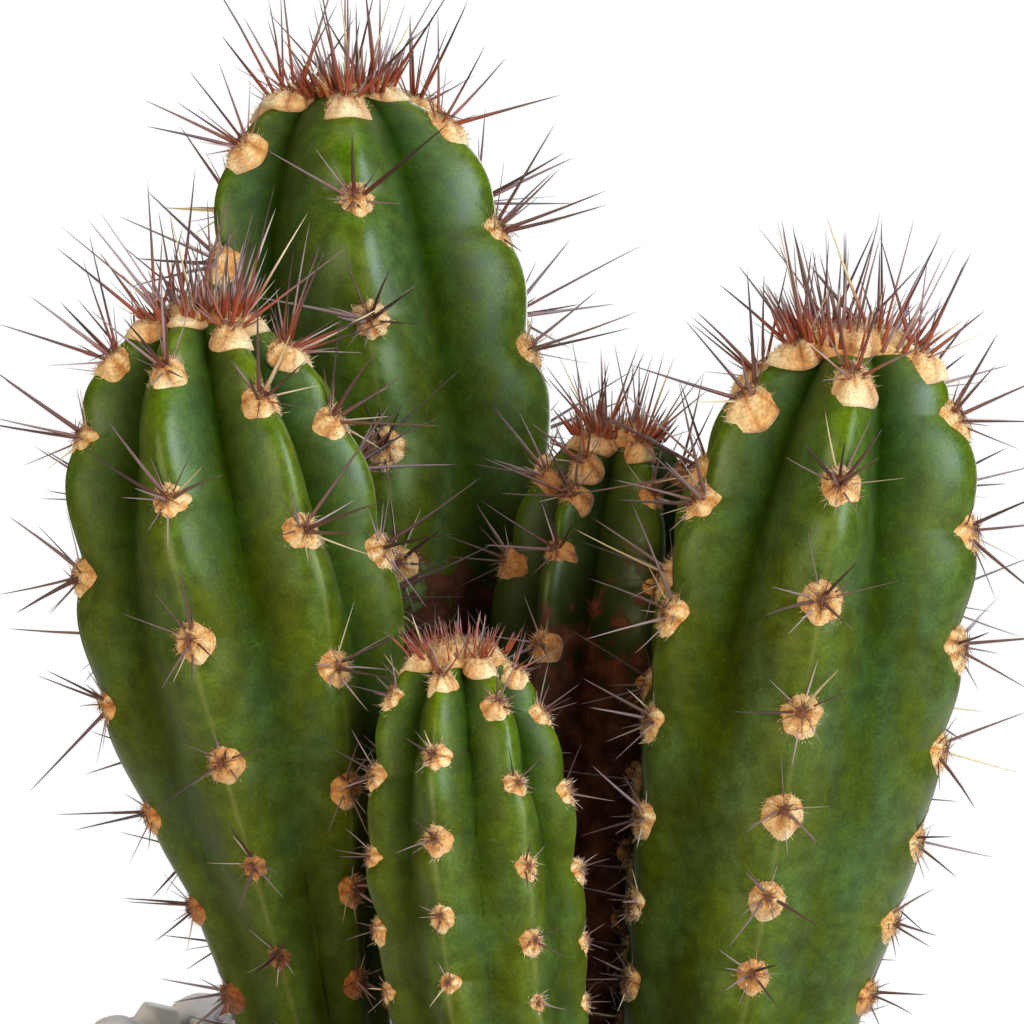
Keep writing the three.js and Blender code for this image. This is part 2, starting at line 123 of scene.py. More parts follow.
# One value for each stem. A share is a height, from 0 at the gravel to 1 at the crown, and below 0
# underground.
STEM_VALUES = {
    "name": ("back", "left", "right", "front", "middle"),
    "foot": ((-6, 44), (-28, -6), (43.8, -10), (3, -36), (14.5, 16)),
    "tip": ((-24.8, 57, 282.6), (-47.5, -8, 244), (63.3, -17, 240), (-3.2, -38, 189), (24.5, 17, 222)),
    "bow": ((-0.8, 2), (-1.2, 0), (1, 0), (-0.6, 0), (0, 0)),
    "foot_radius": (14, 14, 20.7, 15.5, 13),
    "belly_radius": (33.8, 29.5, 28.3, 18.3, 20.5),
    "flare": (0, 0, -0.15, -0.15, -0.15),               # share from which the stem widens
    "belly": (0.59, 0.612, 0.613, 0.527, 0.615),        # share at which it is widest
    "dome": (2.3, 2.1, 2.1, 2.1, 2.1),                  # more keeps the stem wide further up
    "shoulder": (3.1, 2.4, 2.7, 2.6, 2.6),              # more makes its top blunter
    "ribs": (                # azimuths of the crests at the crown, from the front towards +X
        (-66, 1, 68, 116, 180, 244), (-78, -23, 26.5, 68, 115, 170, 225), (-66, 0, 70, 130, 190, 250),
        (-72, -19, 31, 82, 132, 184, 236), (-85, -34, 28, 88, 150, 212),
    ),
    "valleys": (             # azimuths of the groove that follows each crest
        (-48, 33, 92, 148, 212, 269), (-54, 2, 47, 91, 142, 197, 253), (-40, 27, 100, 160, 222, 273),
        (-46, 5, 57, 107, 158, 210, 262), (-60, -11, 58, 119, 181, 243),
    ),
    "twist": (4, 18, -4, 0, 0),
    "top_areoles": (         # how far down each crest from the crown its top areole lies
        (24.3, 13, 20.3, 14, 20, 14), (33, 19.6, 26.3, 31.7, 18, 28, 22), (22.3, 16.6, 24.8, 20, 25, 18),
        (14.4, 10.1, 15.4, 18.5, 13, 17, 14), (15.5, 29, 18, 14, 20, 16),
    ),
    "pace": (22.9, 24.3, 20, 14, 17),                   # distance between areoles high on the stem
    "wool": (4.75, 3.95, 4.75, 3.0, 3.2),               # radius of a wool pad
    "spine": (24, 23, 22, 8, 17),                       # length of a central spine
    "crown_wool": (10.8, 10, 14, 9.8, 9.6),             # radius of the wool over the growing point
    "crown_spines": (18, 18, 18, 3, 16),
    "crown_rust": (1.05, 1.05, 1.05, 1.6, 1.05),        # more reddens its short spines further up
    "crown_fullness": (0.9, 0.85, 0.9, 0.8, 0.85),      # the ribs' fullness there
    "grooves": (             # their depth at the foot and the crown, as shares of the radius
        (0.12, 0.32), (0.12, 0.38), (0.12, 0.42), (0.13, 0.34), (0.34, 0.48),
    ),
    "cork": (                # heights between which brown cork gives way to green skin; on the back and middle stems it reaches high, partly as painted shade of the gaps between the stems
        (176, 216), (110, 122), (108, 118), (108, 118), (166, 212),
    ),
    "bark_tone": (0.06, 0.1, 0.1, 0.1, 0.1),            # how much paler than the darkest its cork is; the back stem's is darkest, partly as painted shade behind the front stems
    "dull": (0, 0, 0, 0, 0.9),                          # 1 where old skin has lost its green; on the middle stem it also paints the shade that it stands in between the others, on its skin and wool
    "weathered": (0.26, 0.65, 0.23, 0.2, 0.26),         # share below which the wool darkens with age
}
Stem = namedtuple("Stem", STEM_VALUES)
STEMS = [Stem(*values) for values in zip(*STEM_VALUES.values())]

# ---- Driving dimensions: areoles and spines ----
YOUNG_PACE = 0.62        # areoles that have yet to grow apart, as a share of the stem's pace
YOUNGEST_AREOLE = 4.5
LOWEST_AREOLE = 0.02     # share of the height
PAD_ANGLES = 56
PAD_RINGS = 12
PAD_SEAT = 0.7           # how deep in its notch a pad lies, as a share of the notch's depth
PAD_LIFT = 9             # an areole looks this much upwards of its crest's normal
PAD_HEIGHT = 0.3         # as a share of the pad's radius
PAD_TAIL = 0.48          # how much further the pad reaches down its crest
PAD_WIDTH = 0.92         # of a pad, as a share of its length without the tail
PAD_DRAPE = 3.5          # distance from the crest where the skin's fall under a pad is measured
PAD_SINK = 1.2           # a pad's edge lies this far under the skin's tangent plane
PAD_LUMP_HEIGHT = 0.45   # of the tufts, as a share of the pad's own height
FUR_HAIRS = 620          # on a large areole
FUR_LENGTH = 0.65
LOOSE_HAIRS = 60
LOOSE_LENGTH = 1.3
HAIR_RADIUS = 0.072      # a real wool hair is finer, and would not show
HAIR_RIM = 0.9           # hairs root within this share of a pad, as its rim lies under the skin
CROWN_THICKNESS = 0.6    # of the crown's wool, as a share of a pad's radius
CROWN_FILL = 0.75        # how much of the grooves the wool fills at the growing point
CROWN_LEAN = 65          # the wool stands out from the skin this far from upright at its rim
CROWN_ANGLES = 120
CROWN_RINGS = 22
CROWN_FUR = 2.6          # scale of its fur, where a large areole's is 1
CROWN_SPINE_TILT = 46
CROWN_BRUSH = 90         # short rusty spines between a crown's long ones
SPINE_RADIUS = 0.43      # of the longest spines, at their root
LONGEST_SPINE = 24
SPINE_SIDES = 6
NEEDLE_TAPER = 0.88      # how much thinner a spine or a hair is next to its tip
STRAW_CHANCE = 0.05      # share of spines that are straw yellow
RADIAL_TILTS = (45, 76)  # radial spines lie round the pad, and central ones stand up from it
CENTRAL_TILTS = (8, 48)
RADIAL_LENGTHS = (0.22, 0.55)   # as shares of the stem's spine length
CENTRAL_LENGTHS = (0.6, 1.1)
RADIAL_WIDTHS = (0.35, 0.6)     # as shares of the stem's spine radius
CENTRAL_WIDTHS = (0.7, 1.1)
BRISTLE_RADIUS = 0.028   # as a share of the pad's radius
BACK_LIMIT = 105         # spines end before they reach further back than this

# ---- Camera, lights and floor ----
VIEW_TARGET = (5.6, 0, 209.6)
VIEW_DISTANCE = 900
VIEW_ELEVATION = 4
VIEW_SCALE = 5.75        # pixels to a millimetre at the target
PICTURE_WIDTH = 1024
SENSOR_WIDTH = 36
FLOOR_HALF_SIZE = 600
FLOOR_LEVEL = -0.2
AMBIENT = 0.07
LIGHT_TARGET = (0, 0, 200)
SOFTBOXES = (            # name, place, width, height, power, colour
    ("key_softbox", (900, -900, 640), 900, 1100, 33, "#dce8ff"),
    ("top_softbox", (50, -50, 1200), 700, 700, 4, "#ffffff"),
    ("back_softbox", (300, 1300, 520), 1000, 1000, 14, "#ffffff"),
    ("fill_softbox", (-800, -1000, 240), 900, 900, 11, "#ffecd2"),
)


# ---- Helpers ----


def smoothstep(value, low, high):
    t = np.clip((value - low) / (high - low), 0.0, 1.0)
    return t * t * (3.0 - 2.0 * t)


def lerp(a, b, t):
    return a + (b - a) * t


def bell(distance, width, power=2):
    """1 at no distance, falling off round `width`."""
    return np.exp(-((distance / width) ** power))


def unit(vectors):
    return vectors / np.linalg.norm(vectors, axis=-1, keepdims=True)


def linear(colour):
    """Turns an sRGB hex colour such as "#4a6b35" into Blender's linear RGBA."""
    channels = [int(colour[i:i + 2], 16) / 255 for i in (1, 3, 5)]
    return [c / 12.92 if c <= 0.04045 else ((c + 0.055) / 1.055) ** 2.4 for c in channels] + [1.0]


def add_object(name, data):
    thing = bpy.data.objects.new(name, data)
    bpy.context.scene.collection.objects.link(thing)
    return thing


def circle_angles(count):
    return np.linspace(0, 2 * math.pi, count, endpoint=False)


class Draft:
    """Collects points, faces and point values of one piece before its mesh is made."""

    def __init__(self):
        self.points = []
        self.faces = []
        self.values = {}
        self.count = 0

    def add(self, points, faces, **values):
        points = np.asarray(points, float).reshape(-1, 3)
        self.points.append(points)
        self.faces.extend([tuple(corner + self.count for corner in face) for face in faces])
        for name, value in values.items():
            self.values.setdefault(name, []).append(np.broadcast_to(value, len(points)))
        self.count += len(points)

    def build(self, name, material, smooth=True):
        mesh = bpy.data.meshes.new(name)
        mesh.from_pydata((np.concatenate(self.points) * MM).tolist(), [], self.faces)
        for value_name, parts in self.values.items():
            attribute = mesh.attributes.new(value_name, "FLOAT", "POINT")
            attribute.data.foreach_set("value", np.concatenate(parts).astype(np.float32))
        mesh.polygons.foreach_set("use_smooth", np.full(len(mesh.polygons), smooth))
        mesh.materials.append(material)
        mesh.update()
        return add_object(name, mesh)


def place(piece, slot, *nodes):
    """Makes a piece ride on the plant and stand for its CAD nodes, which it hides. slot is not used."""
    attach(piece, "root")
    if nodes:
        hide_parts(*nodes)


def grid_faces(rows, columns):
    """Quads of a grid whose columns close round, its rows running along the points' order."""
    faces = []
    for row in range(rows - 1):
        start = row * columns
        for column in range(columns):
            right = (column + 1) % columns
            faces.append((start + column, start + right, start + columns + right, start + columns + column))
    return faces


def cap_faces(first, columns, apex, upward):
    """Triangles from a closed row of points to one apex."""
    faces = []
    for column in range(columns):
        pair = (first + column, first + (column + 1) % columns)
        faces.append((*pair, apex) if upward else (*pair[::-1], apex))
    return faces


def closed_faces(rows, columns):
    """A grid's faces with both ends closed: on the point after the grid's own, and on the next one."""
    count = rows * columns
    ends = cap_faces(0, columns, count, False) + cap_faces(count - columns, columns, count + 1, True)
    return grid_faces(rows, columns) + ends


# ---- Materials ----

# ShaderNodeMix keeps its colour sockets at these places, and mixes colours with this setting.
FACTOR, COLOUR_A, COLOUR_B, COLOUR_OUT = 0, 6, 7, 2
COLOUR_MIX = {"data_type": "RGBA", "out": COLOUR_OUT}


def add_node(tree, kind, sockets=(), out=0, stops=(), **settings):
    """Adds a shader node and returns its output `out`.

    sockets maps inputs to their values, or lists the values of the first inputs in order. A value may be
    a number, an sRGB hex colour or the output that feeds the input. stops are a ramp's places and colours."""
    made = tree.nodes.new("ShaderNode" + kind)
    for name, value in settings.items():
        setattr(made, name, value)
    for name, value in (sockets if isinstance(sockets, dict) else dict(enumerate(sockets))).items():
        if isinstance(value, bpy.types.NodeSocket):
            tree.links.new(value, made.inputs[name])
        else:
            made.inputs[name].default_value = linear(value) if isinstance(value, str) else value
    for _ in stops[2:]:
        made.color_ramp.elements.new(1.0)
    for index, (position, colour) in enumerate(stops):
        made.color_ramp.elements[index].position = position
        made.color_ramp.elements[index].color = linear(colour)
    return made.outputs[out] if made.outputs else None


def start_material(name):
    """A new material, what adds its nodes, and the object coordinates that its patterns lie in."""
    material = bpy.data.materials.new(name)
    material.use_nodes = True
    material.node_tree.nodes.clear()
    add = partial(add_node, material.node_tree)
    return material, add, add("TexCoord", out="Object")


def finish_material(add, height, strength, distance, sockets):
    """Closes a material: its shader's inputs, and a bump whose height difference is `distance` mm."""
    bump = add("Bump", {"Height": height, "Strength": strength, "Distance": distance * MM})
    surface = add("BsdfPrincipled", {**sockets, "Normal": bump})
    add("OutputMaterial", {"Surface": surface})


def pattern(place_at, size, **others):
    """Sockets of a texture that gives a pattern of `size` millimetres in object coordinates."""
    return {"Vector": place_at, "Scale": 1.0 / (size * MM), **others}


def make_skin():
    """Living cactus epidermis: tough, waxy and satin, mid green, yellower on the crests of young growth,
    greyed by patches of wax bloom that also paint part of the bluish sheen, and brown cork where it has
    aged. Painted shade darkens the grooves and tints their reflection. The cork that climbs high on the
    sides facing the other stems, and the middle stem's duller skin, are partly painted shade. Its pores
    are drawn coarser than real ones, so that they show."""
    material, add, place_at = start_material("cactus_epidermis")
    groove, young, crest, seam, cork, dull, bark_tone = (
        add("Attribute", out="Fac", attribute_name=name)
        for name in ("groove", "young", "crest", "seam", "cork", "dull", "bark_tone")
    )
    clouds, mottle, pores, flecks = (
        add("TexNoise", pattern(place_at, size, Detail=detail))
        for size, detail in ((17, 4.0), (3.2, 4.0), (0.55, 2.0), (1.3, 2.0))
    )
    drawn_out = add("Mapping", {"Vector": place_at, "Scale": (1.0, 1.0, 0.35)})
    bloom = add("TexNoise", pattern(drawn_out, 6.5, Detail=5.0, Roughness=0.6))

    cloud_edge = add("MapRange", (clouds, 0.38, 0.62))
    # Patches of wax bloom, which also paint part of the bluish sheen on the skin.
    wax_and_sheen = add("MapRange", (bloom, 0.42, 0.72, 0.0, 0.42))
    greener = add("Math", (young, 0.5), operation="MULTIPLY")
    fresh = add("Math", (young, crest), operation="MULTIPLY")
    colour = "#3d4602"
    # The last tint, #1c2e00 where the groove value is high, is painted shade in the grooves.
    for mask, tint in (
        (cloud_edge, "#46560a"), (wax_and_sheen, "#55694a"), (crest, "#485a10"),
        (greener, "#3c5a0c"), (fresh, "#4f6405"), (groove, "#1c2e00"),
    ):
        colour = add("Mix", {FACTOR: mask, COLOUR_A: colour, COLOUR_B: tint}, **COLOUR_MIX)

    grained = add("MapRange", (mottle, 0.36, 0.64, 0.76, 1.2))
    speckle = add("MapRange", (pores, 0.35, 0.65, 0.84, 1.16))
    tone = add("Math", (grained, speckle), operation="MULTIPLY")
    hue = add("MapRange", (bloom, 0.35, 0.65, 0.482, 0.512))
    colour = add("HueSaturation", {"Color": colour, "Hue": hue, "Value": tone})

    fleck = add("MapRange", (flecks, 0.68, 0.8, 0.0, 0.1))
    bark_grain = add("Math", (mottle, bark_tone), operation="ADD")
    bark = add("ValToRGB", (bark_grain,), stops=(
        (0.3, "#1c0a05"), (0.52, "#3a1b11"), (0.75, "#5c3322"), (1.0, "#80583f"),
    ))
    torn = add("Math", (clouds, 0.8, mottle), operation="MULTIPLY_ADD")
    ragged = add("MapRange", (torn, 0.78, 1.02, -0.34, 0.34))
    cork_edge = add("Math", (cork, ragged), operation="ADD")
    cork_and_shade_mask = add("MapRange", (cork_edge, 0.35, 0.65))
    # The dark olive #1f2207 greys the middle stem's old skin and also paints the shade it stands in between
    # the other stems; the cork tint is partly painted shade too.
    for mask, tint in ((fleck, "#8c9a62"), (dull, "#1f2207"), (seam, "#8a844a"), (cork_and_shade_mask, bark)):
        colour = add("Mix", {FACTOR: mask, COLOUR_A: colour, COLOUR_B: tint}, **COLOUR_MIX)

    ridge = add("Math", (crest, 3.0), operation="POWER")
    young_ridge = add("Math", (ridge, young), operation="MULTIPLY")
    # Painted shade of the reflection: the grooves tint it dark green.
    groove_reflection_shade = add("Math", (groove, 0.6), operation="POWER")
    shine = "#98a472"
    for mask, tint in ((young, "#f0fcf8"), (young_ridge, "#8a9650"), (groove_reflection_shade, "#2c4408")):
        shine = add("Mix", {FACTOR: mask, COLOUR_A: shine, COLOUR_B: tint}, **COLOUR_MIX)

    polish = add("MapRange", (mottle, 0.3, 0.7, 0.28, 0.4))
    dulled = add("Math", (groove, 0.55, polish), operation="MULTIPLY_ADD")
    roughness = add("Math", (cork_and_shade_mask, 0.5, dulled), operation="MULTIPLY_ADD")
    relief = add("Math", (mottle, 0.8), operation="MULTIPLY")
    relief = add("Math", (relief, pores), operation="ADD")
    finish_material(add, relief, 0.28, 0.12, {
        "Base Color": colour, "Roughness": roughness, "Specular Tint": shine,
        "IOR": 1.45, "Specular IOR Level": 0.8,
    })
    return material


def make_wool():
    """Areole wool: short felted plant hair, matt and peach coloured, cream at its lower tip, darker
    between its tufts and paler on them, and rusty where it has weathered. Its fibres are drawn coarse enough
    to show."""
    material, add, place_at = start_material("areole_felt")
    nap, pale = (add("Attribute", out="Fac", attribute_name=name) for name in ("nap", "pale"))
    fibres = add("TexNoise", pattern(place_at, 0.55, Detail=4.0))
    lumps = add("TexNoise", pattern(place_at, 1.6, Detail=2.0))
    worn = add("Math", (lumps, 0.5, nap), operation="MULTIPLY_ADD")
    felt = add("ValToRGB", (worn,), stops=(
        (0.15, "#4a2110"), (0.34, "#90501e"), (0.56, "#bf7f3c"), (0.8, "#d49d58"), (1.0, "#e6c285"),
    ))
    whitened = add("Mix", {FACTOR: pale, COLOUR_A: felt, COLOUR_B: "#e6d09b"}, **COLOUR_MIX)
    nap_shade = add("MapRange", (fibres, 0.35, 0.65, 0.8, 1.18))
    colour = add("HueSaturation", {"Color": whitened, "Value": nap_shade})
    finish_material(add, fibres, 0.9, 0.3, {
        "Base Color": colour, "Roughness": 0.95, "Specular IOR Level": 0.2,
        "Sheen Weight": 0.3, "Sheen Roughness": 0.5,
    })
    return material


def make_spine_horn():
    """Cactus spine: horny, slightly glossy, rust brown where young, grey brown along its length, with a
    dark point. tint picks from dark to straw yellow."""
    material, add, place_at = start_material("spine_horn")
    along, tint, rust = (
        add("Attribute", out="Fac", attribute_name=name) for name in ("along", "tint", "rust")
    )
    colour = add("ValToRGB", (tint,), stops=(
        (0.0, "#33221d"), (0.45, "#644a40"), (0.85, "#a8938c"), (1.0, "#c9b684"),
    ))
    towards_root = add("Math", (along, -3.0, 0.9), operation="MULTIPLY_ADD")
    reach = add("Math", (rust, 1.3, towards_root), operation="MULTIPLY_ADD", use_clamp=True)
    strength = add("Math", (rust, 1.5), operation="MULTIPLY", use_clamp=True)
    rusty = add("Math", (reach, strength), operation="MULTIPLY")
    point = add("MapRange", (along, 0.8, 1.0, 0.0, 0.35))
    for mask, paint in ((rusty, "#93401f"), (point, "#4a3836")):
        colour = add("Mix", {FACTOR: mask, COLOUR_A: colour, COLOUR_B: paint}, **COLOUR_MIX)
    grain = add("TexNoise", pattern(place_at, 0.8, Detail=2.0))
    finish_material(add, grain, 0.3, 0.05, {"Base Color": colour, "Roughness": 0.42})
    return material


def make_terracotta():
    """Earthenware: pressed and fired unglazed clay, matt orange brown, with fine turning lines, grog
    specks and a little pale lime bloom."""
    material, add, place_at = start_material("fired_terracotta")
    flattened = add("Mapping", {"Vector": place_at, "Scale": (0.02, 0.02, 1.0)})
    turning, patches, grit = (
        add("TexNoise", pattern(vector, size, Detail=detail))
        for vector, size, detail in ((flattened, 1.1, 3.0), (place_at, 34, 5.0), (place_at, 0.7, 3.0))
    )
    grog = add("TexVoronoi", pattern(place_at, 1.4), feature="F1")
    colour = add("ValToRGB", (patches,), stops=((0.3, "#a9583a"), (0.5, "#bb6b49"), (0.7, "#c67f5d")))
    speck = add("MapRange", (grog, 0.08, 0.2, 0.45, 0.0))
    lime = add("MapRange", (patches, 0.56, 0.74, 0.0, 0.4))
    for mask, tint in ((speck, "#8a4a33"), (lime, "#d9b7a0")):
        colour = add("Mix", {FACTOR: mask, COLOUR_A: colour, COLOUR_B: tint}, **COLOUR_MIX)
    relief = add("Math", (turning, 1.6, grit), operation="MULTIPLY_ADD")
    finish_material(add, relief, 0.6, 0.12, {
        "Base Color": colour, "Roughness": 0.88, "Specular IOR Level": 0.3,
    })
    return material


def make_stone(name, dark, middle, light):
    """Crushed limestone: broken, pale grey, matt, with a fine crystalline grain and duller patches."""
    material, add, place_at = start_material(name)
    tone = add("Attribute", out="Fac", attribute_name="tone")
    patches = add("TexNoise", pattern(place_at, 3.5, Detail=5.0))
    grain = add("TexNoise", pattern(place_at, 0.45, Detail=3.0))
    mixed = add("Math", (patches, 0.6, tone), operation="MULTIPLY_ADD")
    rock = add("ValToRGB", (mixed,), stops=((0.25, dark), (0.6, middle), (1.0, light)))
    finish_material(add, grain, 0.6, 0.15, {"Base Color": rock, "Roughness": 0.78})
    return material


def make_compost():
    """Potting compost: dark peat and fibre with bark crumbs and a few pale perlite grains."""
    material, add, place_at = start_material("peat_compost")
    crumbs = add("TexVoronoi", pattern(place_at, 2.2), feature="F1")
    shreds = add("TexNoise", pattern(place_at, 1.5, Detail=5.0))
    peat = add("ValToRGB", (shreds,), stops=((0.3, "#1d120c"), (0.55, "#3d281b"), (0.75, "#5e4330")))
    chance = add("SeparateColor", {"Color": crumbs.node.outputs["Color"]})
    pearl = add("MapRange", (chance, 0.93, 0.95, 0.0, 0.8))
    colour = add("Mix", {FACTOR: pearl, COLOUR_A: peat, COLOUR_B: "#cfc8bd"}, **COLOUR_MIX)
    relief = add("Math", (crumbs, -0.8, shreds), operation="MULTIPLY_ADD")
    finish_material(add, relief, 1.0, 0.8, {
        "Base Color": colour, "Roughness": 0.95, "Specular IOR Level": 0.2,
    })
    return material


def make_floor_paint():
    """Matt white emulsion on a smooth board, with the faint nap that a roller leaves."""
    material, add, place_at = start_material("white_emulsion")
    nap = add("TexNoise", pattern(place_at, 2.5, Detail=3.0))
    finish_material(add, nap, 0.1, 0.1, {"Base Color": "#efedea", "Roughness": 0.7})
    return material


# ---- Stems ----


def axis_points(stem, share):
    """The stem's axis, a quadratic curve from the gravel to the crown."""
    foot = np.array([*stem.foot, GROUND], float)
    tip = np.array(stem.tip, float)
    middle = (foot + tip) / 2 + 2 * np.array([*stem.bow, 0])
    t = np.clip(share, 0, 1)[..., None]
    return (1 - t) ** 2 * foot + 2 * t * (1 - t) * middle + t ** 2 * tip


def crest_radius(stem, share):
    swell = lerp(stem.foot_radius, stem.belly_radius, smoothstep(share, stem.flare, stem.belly))
    up = np.clip((share - stem.belly) / (1 - stem.belly), 0, 1)
    dome = stem.belly_radius * (1 - up ** stem.dome) ** (1 / stem.shoulder)
    root = stem.foot_radius * np.sqrt(np.clip(1 - share ** 2, 0, 1))
    return np.where(share < 0, root, np.where(share < stem.belly, swell, dome))


def rib_angles(stem, turn, share):
    """Azimuth in radians of a place `turn` ribs round from the first crest."""
    halves = [angle for pair in zip(stem.ribs, stem.valleys) for angle in pair] + [stem.ribs[0] + 360]
    azimuth = np.interp(2 * turn, np.arange(len(halves)), halves) + stem.twist * (1 - share)
    return np.radians(azimuth)


def level_directions(azimuth):
    """Level directions away from the axis, at azimuths in radians from the front."""
    return np.stack([np.sin(azimuth), -np.cos(azimuth), np.zeros_like(azimuth)], -1)


def youth(share):
    return smoothstep(share, *YOUNG_SHARES)


def groove_share(turn):
    """0 on a crest and 1 at the bottom of a groove."""
    across = np.mod(turn, 1.0)
    return 2 * np.minimum(across, 1 - across)


def groove_shape(stem, turn, share):
    """How far down into its groove the skin lies, from 0 on a crest to 1 at the bottom."""
    fullness = lerp(RIB_FULLNESS, stem.crown_fullness, youth(share))
    across = math.pi / 2 * groove_share(turn) ** fullness
    crease = GROOVE_CREASE * smoothstep(share, *CREASE_SHARES)
    return lerp(np.sin(across) ** 2, 1 - np.cos(across), crease)


def crest_distance(stem, turn, share):
    """Millimetres round the stem to the nearest crest."""
    rib_arc = 2 * math.pi / len(stem.ribs) * crest_radius(stem, share)
    return groove_share(turn) / 2 * rib_arc


def skin_at(stem, turn, share, relief):
    """Points of the ribbed surface, raised by `relief`."""
    depth = lerp(*stem.grooves, smoothstep(share, *GROOVE_FADE))
    radius = crest_radius(stem, share) * (1 - depth * groove_shape(stem, turn, share)) + relief
    sunk = np.maximum(-share, 0) * ROOT_DEPTH
    down = np.stack([np.zeros_like(sunk), np.zeros_like(sunk), sunk], -1)
    outward = level_directions(rib_angles(stem, turn, share))
    return axis_points(stem, share) + radius[..., None] * outward - down


def smooth_skin(stem, turn, share):
    """The stem's plain ribbed surface."""
    turn, share = np.broadcast_arrays(np.asarray(turn, float), np.asarray(share, float))
    return skin_at(stem, turn, share, 0.0)


def areole_shares(stem, rib):
    """Heights of one rib's areoles, oldest first, as shares, with the gaps shorter near foot and crown."""
    shares = np.linspace(1, LOWEST_AREOLE, CREST_STEPS)
    crest = smooth_skin(stem, rib, shares)
    walked = np.concatenate([[0], np.cumsum(np.linalg.norm(np.diff(crest, axis=0), axis=1))])
    found = []
    distance = stem.top_areoles[rib]
    while distance < walked[-1]:
        share = float(np.interp(distance, walked, shares))
        found.append(share)
        distance += stem.pace * lerp(FOOT_PACE, 1, min(1, share / FULL_PACE_SHARE) ** 1.3)
    found.reverse()
    distance = stem.top_areoles[rib] - stem.pace * YOUNG_PACE
    while distance > YOUNGEST_AREOLE:
        found.append(float(np.interp(distance, walked, shares)))
        distance -= stem.pace * YOUNG_PACE ** 2
    return found


def areole_gap(stem, turn, share, heights):
    """0 beside an areole and 1 on the swelling between two, which lies nearer the upper one."""
    count = len(stem.ribs)
    nearest = np.mod(np.rint(turn).astype(int), count)
    phase = np.zeros_like(share)
    for rib in range(count):
        on_rib = nearest == rib
        phase[on_rib] = np.interp(share[on_rib], heights[rib], np.arange(len(heights[rib])))
    below = np.mod(-phase, 1.0)
    return np.sin(math.pi * below ** 0.7)


def notch_depth(stem, share):
    deepening = lerp(*NOTCH_DEPTHS, smoothstep(share, 0.3, 0.8))
    return deepening * (1 - smoothstep(share, *SMOOTH_TOP)) * crest_radius(stem, share)


def skin_relief(stem, turn, share, heights, rng):
    """Scalloped crests, the young crests' flat bands and slow unevenness, in millimetres."""
    from_crest = crest_distance(stem, turn, share)
    above_ground = smoothstep(share, -0.02, 0.05)
    gap = areole_gap(stem, turn, share, heights)
    notch = notch_depth(stem, share) * (1 - gap ** 1.1) * bell(from_crest, NOTCH_HALF_WIDTH)
    keel = youth(share) * bell(from_crest, KEEL_HALF_WIDTH, 4)
    relief = KEEL_HEIGHT * keel - notch
    azimuth = rib_angles(stem, turn, share)
    for _ in range(RELIEF_WAVES):
        waves_round = int(rng.integers(*RELIEF_ROUND))
        waves_up = rng.uniform(*RELIEF_UP)
        phase = rng.uniform(0, 2 * math.pi)
        relief = relief + RELIEF_HEIGHT * np.sin(waves_round * azimuth + waves_up * share + phase)
    return relief * above_ground * (1 - smoothstep(share, *SMOOTH_TOP))


def ring_shares(stem):
    """Shares of the rings from the root's end up, closer together over the dome."""
    root = -np.cos(np.linspace(0.12, 1, ROOT_RINGS, endpoint=False) * math.pi / 2)
    body = np.linspace(0, stem.belly, BODY_RINGS, endpoint=False)
    bend = np.linspace(1, 0, DOME_RINGS + 1)[:-1]
    dome = stem.belly + (1 - stem.belly) * np.cos(bend * math.pi / 2) ** (2 / stem.dome)
    return np.concatenate([root, body, dome])


def ring_turns(stem):
    """Places round the stem in ribs, closer together at crests and grooves."""
    steps = np.arange(len(stem.ribs) * STEPS_PER_RIB) / STEPS_PER_RIB
    return steps - STEP_CROWDING * np.sin(4 * math.pi * steps) / (4 * math.pi)


def make_stem(stem, heights, skin, rng):
    share, turn = np.meshgrid(ring_shares(stem), ring_turns(stem), indexing="ij")
    points = skin_at(stem, turn, share, skin_relief(stem, turn, share, heights, rng))
    young = youth(share)
    gap = areole_gap(stem, turn, share, heights)
    from_crest = crest_distance(stem, turn, share)
    band = bell(from_crest, lerp(*CREST_HALF_WIDTHS, young))
    behind = (1 - np.cos(rib_angles(stem, turn, share))) / 2
    values = {
        # groove: how deep in its groove a point lies; the skin paints it as shade, more strongly towards the
        # crown.
        "groove": groove_shape(stem, turn, share) ** 1.3 * lerp(0.4, 1.0, smoothstep(share, 0.2, 0.85)),
        "young": young,
        "crest": band * lerp(0.55, 1, young),
        "seam": bell(from_crest, SEAM_HALF_WIDTH) * gap ** 0.5 * (1 - young) * SEAM_STRENGTH,
        # Cork climbs higher on the sides that face the other stems, partly as painted shade of the gaps
        # between them.
        "cork": 1 - smoothstep(points[..., 2] + CORK_SHADE_DROP * behind, *stem.cork),
        "bark_tone": np.full(share.shape, stem.bark_tone),
        "dull": stem.dull * (1 - 0.6 * young),
    }
    ends = [[*stem.foot, GROUND - ROOT_DEPTH], stem.tip]
    flat = {name: np.concatenate([value.ravel(), value[[0, -1], 0]]) for name, value in values.items()}
    draft = Draft()
    draft.add(np.concatenate([points.reshape(-1, 3), ends]), closed_faces(*share.shape), **flat)
    place(draft.build(f"stem_skin_{stem.name}", skin), "cactus_skin", f"stem_{stem.name}")


# ---- Areoles: wool pads, hairs and spines ----


@dataclass
class Areole:
    """Where a pad sits: its centre, the outward normal, and the direction down the crest."""
    centre: np.ndarray
    normal: np.ndarray
    down: np.ndarray
    share: float
    bend: float = 0.0      # how fast the skin falls away beside the crest, 1/mm

    @property
    def side(self):
        return np.cross(self.down, self.normal)


